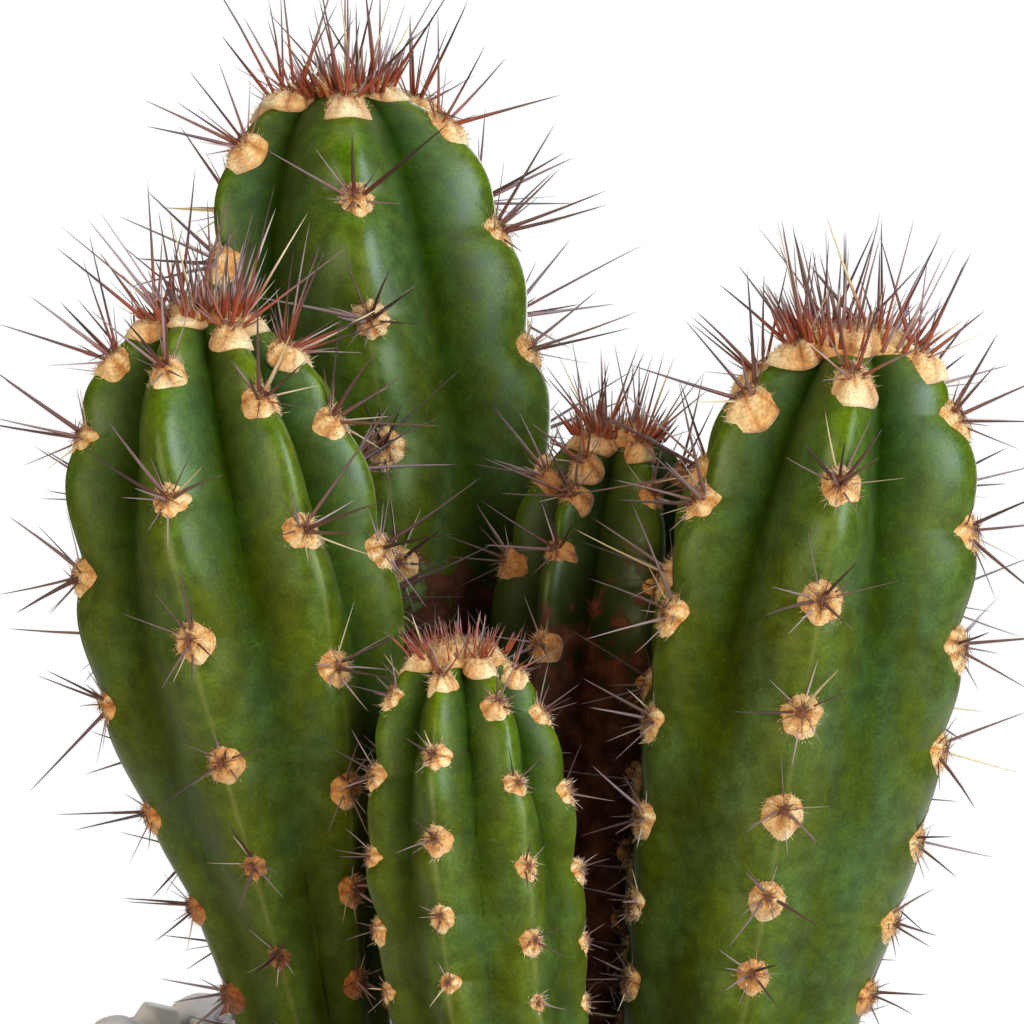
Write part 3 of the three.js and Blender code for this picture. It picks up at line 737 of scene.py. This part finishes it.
def find_areole(stem, rib, share):
    near = 0.004           # in shares and in ribs, to either side
    up = smooth_skin(stem, rib, share + near) - smooth_skin(stem, rib, share - near)
    wrap = len(stem.ribs)
    right = smooth_skin(stem, rib + near, share) - smooth_skin(stem, (rib - near) % wrap, share)
    normal = unit(np.cross(right, up))
    centre = smooth_skin(stem, rib, share) - normal * float(notch_depth(stem, np.array(share))) * PAD_SEAT
    down = -unit(up)
    lift = math.radians(PAD_LIFT)
    looks = math.cos(lift) * normal - math.sin(lift) * down
    step = PAD_DRAPE / (2 * math.pi * float(crest_radius(stem, share))) * wrap
    beside = smooth_skin(stem, np.mod([rib - step, rib + step], wrap), share) - smooth_skin(stem, rib, share)
    bend = float(np.mean(-beside @ normal)) / PAD_DRAPE ** 2
    return Areole(centre, looks, math.cos(lift) * down + math.sin(lift) * normal, share, bend)


def needles(roots, directions, lengths, radii, bends, sides, stations):
    """Closed tapering needles: points, faces and each point's share of the way to the tip."""
    count = len(roots)
    along = np.array(stations, float)
    helper = np.where(np.abs(directions[:, 2:]) < 0.9, [[0.0, 0.0, 1.0]], [[1.0, 0.0, 0.0]])
    side = unit(np.cross(directions, helper))
    up = np.cross(directions, side)
    reach = lengths[:, None, None] * along[:, None]
    centres = roots[:, None] + directions[:, None] * reach + bends[:, None] * along[:, None] ** 2
    taper = 1 - NEEDLE_TAPER * along ** 1.2
    angles = 2 * math.pi * np.arange(sides) / sides
    ring = np.cos(angles)[:, None] * side[:, None] + np.sin(angles)[:, None] * up[:, None]
    rings = centres[:, :, None] + (radii[:, None] * taper)[:, :, None, None] * ring[:, None]
    tips = roots + directions * lengths[:, None] + bends
    points = np.concatenate([rings.reshape(count, -1, 3), tips[:, None]], 1)
    rows = len(along)
    pattern = grid_faces(rows, sides)
    pattern += cap_faces((rows - 1) * sides, sides, rows * sides, True)
    pattern.append(tuple(range(sides))[::-1])
    stride = rows * sides + 1
    faces = [tuple(corner + stride * k for corner in face) for k in range(count) for face in pattern]
    share = np.tile(np.append(np.repeat(along, sides), 1.0), count)
    return points.reshape(-1, 3), faces, share, stride


def tuft_pattern(reach, angle, tufts, rng):
    """Wool growing in tufts round a middle: the outline's bulges, the tufts' lumps and the seams between."""
    bulge = np.zeros_like(angle)
    lumps = np.full(reach.shape, -0.25)
    for tuft in range(tufts):
        turn = (tuft + rng.uniform(-0.32, 0.32)) * 2 * math.pi / tufts
        apart = np.mod(angle - turn + math.pi, 2 * math.pi) - math.pi
        out = rng.uniform(0.5, 0.72)
        size = rng.uniform(2.0, 3.0) / tufts
        bulge += rng.uniform(0.03, 0.1) * bell(apart, math.pi / tufts * 0.7)
        sideways = reach * np.sin(np.clip(apart, -math.pi / 2, math.pi / 2)) / size
        lengthways = (reach - out) / 0.42
        lump = rng.uniform(0.35, 0.65) - sideways ** 2 - lengthways ** 2 + (np.abs(apart) > 1.5) * -2
        lumps = np.maximum(lumps, lump)
    seams = np.abs(np.cos(tufts * angle / 2 + rng.uniform(0, math.pi))) ** 0.45
    return bulge, lumps * smoothstep(reach, 1.0, 0.75), seams


def wool_nap(reach, lumps, seams):
    """0, darkest, in the gaps between tufts, and 1 on the palest wool, on top of the tufts."""
    return np.clip(0.08 + 0.52 * seams * smoothstep(reach, 0.0, 0.35) + 0.35 * lumps, 0, 1)


def wool_grid(rings, columns):
    """Shares of the way out from the middle of a patch of wool, and the angles round it."""
    reach = np.linspace(0, 1, rings + 1)[1:]
    angle = circle_angles(columns)
    return np.meshgrid(reach, angle, indexing="ij")


def add_wool(draft, points, middle, under, nap, pale):
    """Closes rings of wool over their middle and under their rim."""
    draft.add(
        np.concatenate([points.reshape(-1, 3), [middle, under]]), closed_faces(*nap.shape),
        nap=np.append(nap.ravel(), [0.42, 0.3]),
        pale=np.append(pale.ravel(), [0, 0]),
    )


def add_pad(draft, areole, radius, fresh, rng):
    """A cushion of wool with a tail down the crest. Returns its points and their looks.

    fresh is 1 for the palest wool, and 0 where it has weathered brown."""
    reach, angle = wool_grid(PAD_RINGS, PAD_ANGLES)
    bulge, lumps, seams = tuft_pattern(reach, angle, int(rng.integers(6, 9)), rng)
    tail = (0.5 + 0.5 * np.cos(angle)) ** 2
    out = radius * reach * (0.88 + PAD_TAIL * tail + bulge)
    crease = 0.1 * (1 - seams) * smoothstep(reach, 0.1, 0.4)
    rise = PAD_HEIGHT * (1 - reach ** 2.2 + PAD_LUMP_HEIGHT * lumps - crease) - PAD_SINK / radius * reach ** 4
    across = PAD_WIDTH * out * np.sin(angle)
    height = radius * rise - areole.bend * across ** 2
    points = (
        areole.centre + across[..., None] * areole.side
        + (out * np.cos(angle))[..., None] * areole.down + height[..., None] * areole.normal
    )
    nap = wool_nap(reach, lumps, seams) * fresh
    pale = tail ** 4 * smoothstep(reach, 0.45, 0.9) * 0.9 * fresh
    middle = areole.centre + areole.normal * radius * PAD_HEIGHT
    add_wool(draft, points, middle, areole.centre - areole.normal * (PAD_SINK + 3), nap, pale)
    return points, nap, pale, reach


def add_crown_wool(draft, stem, areole, rng):
    """Wool over the growing point, running down the ribs. Returns its points and their looks."""
    reach, angle = wool_grid(CROWN_RINGS, CROWN_ANGLES)
    ribs = len(stem.ribs)
    bulge, lumps, seams = tuft_pattern(reach, angle, 2 * ribs, rng)
    out = stem.crown_wool * reach * (0.86 + bulge)
    up = (1 - np.minimum(out / stem.belly_radius, 0.98) ** stem.shoulder) ** (1 / stem.dome)
    share = stem.belly + (1 - stem.belly) * up
    turn = (1 - angle / (2 * math.pi)) * ribs
    groove = crest_radius(stem, share) * stem.grooves[1] * groove_shape(stem, turn, share)
    skin = skin_at(stem, turn, share, groove * CROWN_FILL * (1 - reach ** 2))
    outward = level_directions(rib_angles(stem, turn, share))
    lean = (np.radians(CROWN_LEAN) * reach)[..., None]
    thick = CROWN_THICKNESS * stem.wool
    thickness = thick * (1 - reach ** 2.5 + 0.3 * lumps) - 0.8 * reach ** 6
    points = skin + thickness[..., None] * (np.cos(lean) * areole.normal + np.sin(lean) * outward)
    nap = wool_nap(reach, lumps, seams)
    pale = np.zeros_like(nap)
    tip = np.array(stem.tip, float)
    add_wool(draft, points, tip + areole.normal * thick, tip - areole.normal * 6, nap, pale)
    return points, nap, pale, reach


def add_hairs(draft, areole, surface, amount, length, stations, rng):
    """Fine wool hairs standing out of a pad, leaning away from its middle."""
    points, nap, pale, reach = surface
    picks = rng.integers(0, nap.size, amount)
    picks = picks[reach.ravel()[picks] < HAIR_RIM]
    amount = len(picks)
    roots = points.reshape(-1, 3)[picks]
    out = roots - areole.centre
    out = out - (out @ areole.normal)[:, None] * areole.normal
    spread = out / np.maximum(np.linalg.norm(out, axis=1, keepdims=True), 1e-6)
    lean = reach.ravel()[picks][:, None]
    direction = unit(areole.normal * 0.7 + spread * lean * 1.2 + rng.normal(0, 0.3, roots.shape))
    length = length * rng.uniform(0.6, 1.4, amount)
    radius = HAIR_RADIUS * rng.uniform(0.7, 1.3, amount)
    bend = rng.normal(0, 0.2, roots.shape) * length[:, None]
    hairs, faces, _, stride = needles(roots - direction * 0.1, direction, length, radius, bend, 3, stations)
    draft.add(
        hairs, faces,
        nap=np.repeat(np.clip(nap.ravel()[picks] + rng.uniform(-0.05, 0.3, amount), 0, 1), stride),
        pale=np.repeat(np.clip(pale.ravel()[picks] + rng.uniform(0, 0.3, amount), 0, 1), stride),
    )


def add_fur(draft, areole, surface, scale, rng):
    """Covers a pad with short fur and some longer loose hairs. scale is 1 for a large areole."""
    add_hairs(draft, areole, surface, int(FUR_HAIRS * scale ** 2), FUR_LENGTH, (0.0,), rng)
    add_hairs(draft, areole, surface, int(LOOSE_HAIRS * scale ** 2), LOOSE_LENGTH, (0.0, 0.5), rng)


def tilted(areole, tilt, turn):
    """A direction `tilt` degrees from the normal, turned from the way down the crest."""
    tilt, turn = np.radians(tilt), np.radians(turn)
    flat = np.cos(turn)[:, None] * areole.down + np.sin(turn)[:, None] * areole.side
    return np.cos(tilt)[:, None] * areole.normal + np.sin(tilt)[:, None] * flat


class SpineList:
    """Collects the spines of one piece."""

    def __init__(self, rng):
        self.rng = rng
        self.parts = []

    def add(self, roots, directions, lengths, radius, tint, rust):
        beyond = np.maximum((roots + directions * lengths[:, None])[:, 1] - BACK_LIMIT, 0)
        lengths = lengths - beyond / np.maximum(directions[:, 1], 0.2)
        bend = self.rng.normal(0, 0.03, roots.shape) * lengths[:, None]
        self.parts.append((roots, directions, lengths, radius, bend, tint, np.full(len(roots), rust)))

    def build(self, name, material):
        *shape, tint, rust = map(np.concatenate, zip(*self.parts))
        points, faces, along, stride = needles(*shape, SPINE_SIDES, (0.0, 0.06, 0.3, 0.6, 0.88))
        draft = Draft()
        draft.add(points, faces, along=along, tint=np.repeat(tint, stride), rust=np.repeat(rust, stride))
        return draft.build(name, material)


def spread_turns(amount, jitter, rng):
    """Turns spaced evenly round a pad, each moved by up to `jitter` of a space."""
    return (np.arange(amount) + rng.uniform(-jitter, jitter, amount)) * 360 / amount


def spine_tints(amount, low, high, rng):
    """Mostly grey brown, with a few straw yellow spines."""
    return np.where(rng.random(amount) < STRAW_CHANCE, 1.0, rng.uniform(low, high, amount))


def spine_radius(stem):
    """Shorter spines are thinner too."""
    return SPINE_RADIUS * (stem.spine / LONGEST_SPINE) ** 0.6


def add_areole_spines(spines, stem, areole, rng):
    vigour = lerp(0.5, 1.0, float(smoothstep(areole.share, 0.1, 0.75)))
    fresh = float(youth(areole.share))
    newest = float(smoothstep(areole.share, 0.93, 0.98))
    radials = int(round(lerp(4, 6, vigour) * (stem.spine / LONGEST_SPINE) ** 0.5))
    turn = spread_turns(radials, 0.4, rng) + rng.uniform(0, 360)
    tilt = rng.uniform(*RADIAL_TILTS, radials) - 12 * fresh
    length = stem.spine * vigour * rng.uniform(*RADIAL_LENGTHS, radials)
    centrals = 2 + int(rng.random() < 0.6) + int(fresh > 0.3) + int(rng.random() < fresh)
    turn = np.append(turn, spread_turns(centrals, 0.3, rng) + rng.uniform(0, 360))
    tilt = np.append(tilt, rng.uniform(*CENTRAL_TILTS, centrals))
    length = np.append(length, stem.spine * vigour * rng.uniform(*CENTRAL_LENGTHS, centrals))
    direction = tilted(areole, tilt, turn)
    flat = direction - (direction @ areole.normal)[:, None] * areole.normal
    roots = areole.centre + flat * stem.wool * 0.45 + areole.normal * 0.4
    stout = np.append(rng.uniform(*RADIAL_WIDTHS, radials), rng.uniform(*CENTRAL_WIDTHS, centrals))
    radius = spine_radius(stem) * lerp(0.5, 1.0, vigour) * stout
    tint = np.append(spine_tints(radials, 0.3, 0.95, rng), spine_tints(centrals, 0.0, 0.65, rng))
    spines.add(roots, direction, length, radius, tint, 0.1 + 0.15 * fresh + 0.4 * newest)


def add_bristles(spines, areole, size, rng):
    """Thin dark bristles that lie on the pad like the spokes of a wheel."""
    amount = int(rng.integers(5, 9))
    turn = spread_turns(amount, 0.3, rng)
    direction = tilted(areole, rng.uniform(78, 92, amount), turn)
    roots = np.tile(areole.centre + areole.normal * (PAD_HEIGHT * size + 0.45), (amount, 1))
    length = size * rng.uniform(0.55, 1.1, amount)
    radius = BRISTLE_RADIUS * size * rng.uniform(0.7, 1.2, amount)
    spines.add(roots, direction, length, radius, np.zeros(amount), 0.3)


def crown_areole(stem):
    """The crown's own growing point: it looks along the end of the stem's axis."""
    end = axis_points(stem, np.array([0.97, 1.0]))
    normal = unit(end[1] - end[0])
    side = unit(np.cross(np.array([0.0, -1.0, 0.0]), normal))
    return Areole(end[1] - normal * 1.2, normal, np.cross(normal, side), 1.0)


def add_crown_spines(spines, stem, areole, reach, amount, lengths, rust, rng):
    """Spines that stand up from the crown's wool, leaning outwards the further from its middle they are.

    lengths is the shortest and the longest, and more rust reddens a spine further up."""
    spread = np.sqrt(rng.random(amount))
    turn = rng.uniform(0, 360, amount)
    tilt = CROWN_SPINE_TILT * spread ** 1.2 * rng.uniform(0.6, 1.1, amount)
    direction = tilted(areole, tilt, turn)
    roots = tilted(areole, np.full(amount, 90.0), turn) * (spread * reach * 0.9)[:, None]
    roots = roots + areole.centre + areole.normal * 0.8
    length = rng.uniform(*lengths, amount)
    radius = spine_radius(stem) * rng.uniform(0.6, 1.2, amount)
    spines.add(roots, direction, length, radius, spine_tints(amount, 0.35, 0.95, rng), rust)


def make_crown(stem, wool, horn, rng):
    areole = crown_areole(stem)
    draft = Draft()
    surface = add_crown_wool(draft, stem, areole, rng)
    add_fur(draft, areole, surface, CROWN_FUR, rng)
    node = f"crown_tuft_{stem.name}"
    place(draft.build(f"crown_wool_{stem.name}", wool), "areole_wool", node)

    spines = SpineList(rng)
    lengths = np.array([0.4, 1.0]) * stem.spine
    brush = np.array([1.0, 2.2]) * stem.wool
    add_crown_spines(spines, stem, areole, stem.crown_wool * 0.9, stem.crown_spines, lengths, 0.4, rng)
    add_crown_spines(spines, stem, areole, stem.crown_wool, CROWN_BRUSH, brush, stem.crown_rust, rng)
    place(spines.build(f"crown_spines_{stem.name}", horn), "areole_wool", node)


def make_areoles(stem, heights, wool, horn, rng):
    pads = Draft()
    hairs = Draft()
    spines = SpineList(rng)
    for rib, shares in enumerate(heights):
        for share in shares:
            areole = find_areole(stem, rib, share)
            size = stem.wool * lerp(0.7, 1.0, float(smoothstep(share, 0.05, 0.7)))
            size *= rng.uniform(0.93, 1.07)
            # The middle stem's wool is darkened with it, partly as painted shade.
            fresh = float(smoothstep(share, -0.02, stem.weathered)) * (1 - 0.5 * stem.dull)
            surface = add_pad(pads, areole, size, fresh, rng)
            add_fur(hairs, areole, surface, size / 4, rng)
            add_areole_spines(spines, stem, areole, rng)
            add_bristles(spines, areole, size, rng)
    nodes = [f"areole_{stem.name}_{rib + 1}" for rib in range(len(heights))]
    for name, draft, material in (("pads", pads, wool), ("hairs", hairs, wool), ("spines", spines, horn)):
        place(draft.build(f"areole_{name}_{stem.name}", material), "areole_wool", *nodes)


# ---- Soil, gravel and stones ----


def pot_inner_radius(height):
    up = (height - POT_FLOOR) / (POT_HEIGHT - POT_FLOOR)
    return lerp(POT_FOOT_RADIUS - POT_WALL, POT_RIM_RADIUS - POT_WALL, up)


def gravel_top(x, y):
    out = np.hypot(x, y) / pot_inner_radius(GRAVEL_EDGE_TOP)
    waves = np.sin(x * 0.31 + 1) * np.cos(y * 0.27) + np.sin((x + y) * 0.17)
    return GRAVEL_EDGE_TOP + GRAVEL_HEAP * (1 - out * out) + GRAVEL_BUMP * waves


def make_gravel_bed(material, rng):
    """The fine grit between the chips: a disc with an uneven top."""
    reach = np.linspace(0.015, 1, GRIT_RINGS) * (pot_inner_radius(SOIL_TOP) - GRIT_GAP)
    angle = circle_angles(GRIT_SEGMENTS)
    radius, turn = np.meshgrid(reach, angle, indexing="ij")
    x, y = radius * np.cos(turn), radius * np.sin(turn)
    top = gravel_top(x, y) - GRIT_DROP + rng.normal(0, GRIT_GRAIN, x.shape)
    floor = SOIL_TOP + GRIT_FLOOR
    rim = np.stack([x[-1], y[-1], np.full(GRIT_SEGMENTS, floor)], -1)
    ends = [[0, 0, gravel_top(0, 0) - GRIT_DROP], [0, 0, floor]]
    faces = [face[::-1] for face in closed_faces(GRIT_RINGS + 1, GRIT_SEGMENTS)]
    draft = Draft()
    draft.add(np.concatenate([np.stack([x, y, top], -1).reshape(-1, 3), rim, ends]), faces, tone=0.15)
    place(draft.build("gravel_grit", material), "gravel", "gravel_layer")


def sphere_directions(subdivisions):
    """Points and faces of an icosphere of radius 1, to be cut into a stone."""
    shape = bmesh.new()
    bmesh.ops.create_icosphere(shape, subdivisions=subdivisions, radius=1.0)
    points = np.array([vertex.co for vertex in shape.verts])
    faces = [tuple(vertex.index for vertex in face.verts) for face in shape.faces]
    shape.free()
    return points, faces


def broken_stone(directions, planes, rng):
    """Scales a ball's directions to a stone broken along flat planes with slightly worn edges."""
    normals = unit(rng.normal(0, 1, (planes, 3)))
    depths = rng.uniform(0.62, 1.0, planes)
    facing = np.maximum(directions @ normals.T, 0) / depths
    reach = (facing ** STONE_SHARPNESS).sum(1) + 0.9 ** STONE_SHARPNESS
    return directions / reach[:, None] ** (1 / STONE_SHARPNESS)


def turn_matrix(rng):
    """A random turn in space."""
    axes, _ = np.linalg.qr(rng.normal(0, 1, (3, 3)))
    if np.linalg.det(axes) < 0:
        axes[:, 0] = -axes[:, 0]
    return axes


def is_clear(x, y, size, placed, kept_clear):
    for other_x, other_y, other_radius in kept_clear:
        if math.hypot(x - other_x, y - other_y) < other_radius + size * STEM_GAP:
            return False
    for other_x, other_y, other_size in placed:
        if math.hypot(x - other_x, y - other_y) < CHIP_GAP * (size + other_size):
            return False
    return True


def make_gravel_chips(material, kept_clear, rng):
    """Crushed stone lying over the grit in two layers, clear of the stems and the larger stones."""
    directions, faces = sphere_directions(CHIP_DETAIL)
    shapes = [broken_stone(directions, CHIP_PLANES, rng) for _ in range(CHIP_SHAPES)]
    draft = Draft()
    for base_size, tries, lift in CHIP_LAYERS:
        placed = []
        for _ in range(tries):
            size = base_size * rng.uniform(0.75, 1.3)
            reach = (pot_inner_radius(GRAVEL_EDGE_TOP) - size * 0.55) * math.sqrt(rng.random())
            angle = rng.uniform(0, 2 * math.pi)
            x, y = reach * math.cos(angle), reach * math.sin(angle)
            if not is_clear(x, y, size, placed, kept_clear):
                continue
            placed.append((x, y, size))
            shape = shapes[int(rng.integers(CHIP_SHAPES))] * (size / 2)
            points = (shape * np.array(CHIP_STRETCH)) @ turn_matrix(rng).T
            points[:, 2] *= CHIP_FLATTENING
            centre = np.array([x, y, float(gravel_top(x, y)) - 0.6 + lift + size * 0.12])
            draft.add(points + centre, faces, tone=rng.uniform(0.1, 0.75))
    place(draft.build("gravel_chips", material), "gravel", "gravel_layer")


def stone_boxes():
    """The lowest and highest corners of the larger stones' CAD boxes, by name."""
    names = [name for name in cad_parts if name.startswith("stone_")]
    return {name: [np.array(corner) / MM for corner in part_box(name)] for name in names}


def make_loose_stones(material, rng):
    """The larger stones on top, each cut to fill its own place."""
    directions, faces = sphere_directions(STONE_DETAIL)
    for name, (low, high) in sorted(stone_boxes().items()):
        shape = broken_stone(directions, STONE_PLANES, rng)
        shape = shape / np.abs(shape).max(0) * (high - low) / 2
        draft = Draft()
        draft.add(shape + (low + high) / 2, faces, tone=rng.uniform(0.3, 0.7))
        place(draft.build(f"loose_{name}", material), "gravel", name)


def places_kept_clear():
    """Places and radii of the stems and the larger stones, where no chip lies."""
    places = [(*stem.foot, stem.foot_radius * 0.95) for stem in STEMS]
    for low, high in stone_boxes().values():
        places.append((*((low + high) / 2)[:2], float((high - low)[:2].max()) / 2))
    return places


# ---- Pot ----


def rounded_outline(corners, steps=6):
    """Rounds each [radius, height, rounding] corner of an outline with a short arc-like curve."""
    outline = []
    for index, (x, z, rounding) in enumerate(corners):
        here = np.array([x, z], float)
        if rounding == 0:
            outline.append(here)
            continue
        before = np.array(corners[index - 1][:2], float)
        after = np.array(corners[(index + 1) % len(corners)][:2], float)
        start = here + unit(before - here) * rounding
        end = here + unit(after - here) * rounding
        for t in np.linspace(0, 1, steps):
            outline.append((1 - t) ** 2 * start + 2 * t * (1 - t) * here + t * t * end)
    return np.array(outline)


def make_pot(material):
    collar_foot = POT_HEIGHT - COLLAR_HEIGHT
    collar_radius = POT_RIM_RADIUS - COLLAR_DRAFT
    rings = rounded_outline([
        (0, 0, 0),
        (POT_FOOT_RADIUS, 0, POT_EDGE),
        (collar_radius - COLLAR_STEP, collar_foot, POT_EDGE),
        (collar_radius, collar_foot, POT_EDGE),
        (POT_RIM_RADIUS, POT_HEIGHT, RIM_EDGE),
        (POT_RIM_RADIUS - POT_WALL, POT_HEIGHT, POT_EDGE),
        (POT_FOOT_RADIUS - POT_WALL, POT_FLOOR, POT_EDGE),
        (0, POT_FLOOR, 0),
    ])[1:-1]
    turn = circle_angles(POT_SEGMENTS)
    x = rings[:, 0, None] * np.cos(turn)
    y = rings[:, 0, None] * np.sin(turn)
    points = np.stack([x, y, np.broadcast_to(rings[:, 1, None], x.shape)], -1).reshape(-1, 3)
    draft = Draft()
    draft.add(np.concatenate([points, [[0, 0, 0], [0, 0, POT_FLOOR]]]), closed_faces(*x.shape))
    pot = draft.build("terracotta_pot", material)
    drill_drains(pot)
    place(pot, "terracotta", "pot")


def drill_drains(pot):
    """Cuts the drain holes through the pot's floor."""
    draft = Draft()
    turn = circle_angles(DRAIN_SIDES)
    ends = [tuple(range(DRAIN_SIDES))[::-1], tuple(range(DRAIN_SIDES, 2 * DRAIN_SIDES))]
    for index in range(DRAIN_COUNT):
        around = index / DRAIN_COUNT * 2 * math.pi
        x = DRAIN_CIRCLE * math.sin(around) + DRAIN_RADIUS * np.cos(turn)
        y = DRAIN_CIRCLE * math.cos(around) + DRAIN_RADIUS * np.sin(turn)
        low, high = (np.stack([x, y, np.full(DRAIN_SIDES, z)], -1) for z in (-POT_FLOOR, 2 * POT_FLOOR))
        draft.add(np.concatenate([low, high]), grid_faces(2, DRAIN_SIDES) + ends)
    drill = draft.build("drain_drill", pot.data.materials[0])
    cut = pot.modifiers.new("drains", "BOOLEAN")
    cut.operation = "DIFFERENCE"
    cut.solver = "EXACT"
    cut.object = drill
    depsgraph = bpy.context.evaluated_depsgraph_get()
    result = bpy.data.meshes.new_from_object(pot.evaluated_get(depsgraph))
    pot.modifiers.clear()
    pot.data = result
    bpy.data.objects.remove(drill)


# ---- Stage, lights and camera ----


def make_floor(material):
    half = FLOOR_HALF_SIZE
    corners = [(x * half, y * half, FLOOR_LEVEL) for x, y in ((-1, -1), (1, -1), (1, 1), (-1, 1))]
    draft = Draft()
    draft.add(corners, [(0, 1, 2, 3)])
    draft.build("floor", material, smooth=False)


def aim(thing, target):
    direction = Vector(target) * MM - thing.location
    thing.rotation_euler = direction.to_track_quat("-Z", "Y").to_euler()


def light_studio():
    """White surroundings, a large softbox in front to the right, and weaker ones to the left, above and
    behind."""
    world = bpy.data.worlds.new("studio")
    bpy.context.scene.world = world
    world.use_nodes = True
    world.node_tree.nodes.clear()
    add = partial(add_node, world.node_tree)
    glow, seen = (add("Background", {"Color": "#ffffff", "Strength": power}) for power in (AMBIENT, 1.0))
    camera_ray = add("LightPath", out="Is Camera Ray")
    add("OutputWorld", {"Surface": add("MixShader", (camera_ray, glow, seen))})
    for name, location, width, height, power, colour in SOFTBOXES:
        data = bpy.data.lights.new(name, "AREA")
        data.shape = "RECTANGLE"
        data.size = width * MM
        data.size_y = height * MM
        data.energy = power
        data.color = linear(colour)[:3]
        light = add_object(name, data)
        light.location = Vector(location) * MM
        aim(light, LIGHT_TARGET)


def add_camera():
    """A long lens level with the crowns, looking slightly down."""
    data = bpy.data.cameras.new("camera")
    data.sensor_width = SENSOR_WIDTH
    data.lens = SENSOR_WIDTH * VIEW_DISTANCE * VIEW_SCALE / PICTURE_WIDTH
    camera = add_object("camera", data)
    elevation = math.radians(VIEW_ELEVATION)
    back = Vector((0, -math.cos(elevation), math.sin(elevation)))
    camera.location = (Vector(VIEW_TARGET) + back * VIEW_DISTANCE) * MM
    aim(camera, VIEW_TARGET)
    bpy.context.scene.camera = camera


# ---- Assembly ----


def build_plant():
    skin = make_skin()
    wool = make_wool()
    horn = make_spine_horn()
    for number, stem in enumerate(STEMS):
        rng = np.random.default_rng(STEM_SEED + number)
        heights = [areole_shares(stem, rib) for rib in range(len(stem.ribs))]
        make_stem(stem, heights, skin, rng)
        make_areoles(stem, heights, wool, horn, rng)
        make_crown(stem, wool, horn, rng)


def build_pot_and_bed():
    rng = np.random.default_rng(BED_SEED)
    chip_stone = make_stone("crushed_limestone", "#b9b6b1", "#e2e0dc", "#f8f7f5")
    make_gravel_bed(make_stone("limestone_grit", "#2a1810", "#59402f", "#9a8c80"), rng)
    make_gravel_chips(chip_stone, places_kept_clear(), rng)
    make_loose_stones(chip_stone, rng)
    make_pot(make_terracotta())
    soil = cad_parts["soil"]
    soil.data.materials.clear()
    soil.data.materials.append(make_compost())


add_camera()
light_studio()
make_floor(make_floor_paint())
build_plant()
build_pot_and_bed()
bpy.context.scene.view_settings.view_transform = "Standard"
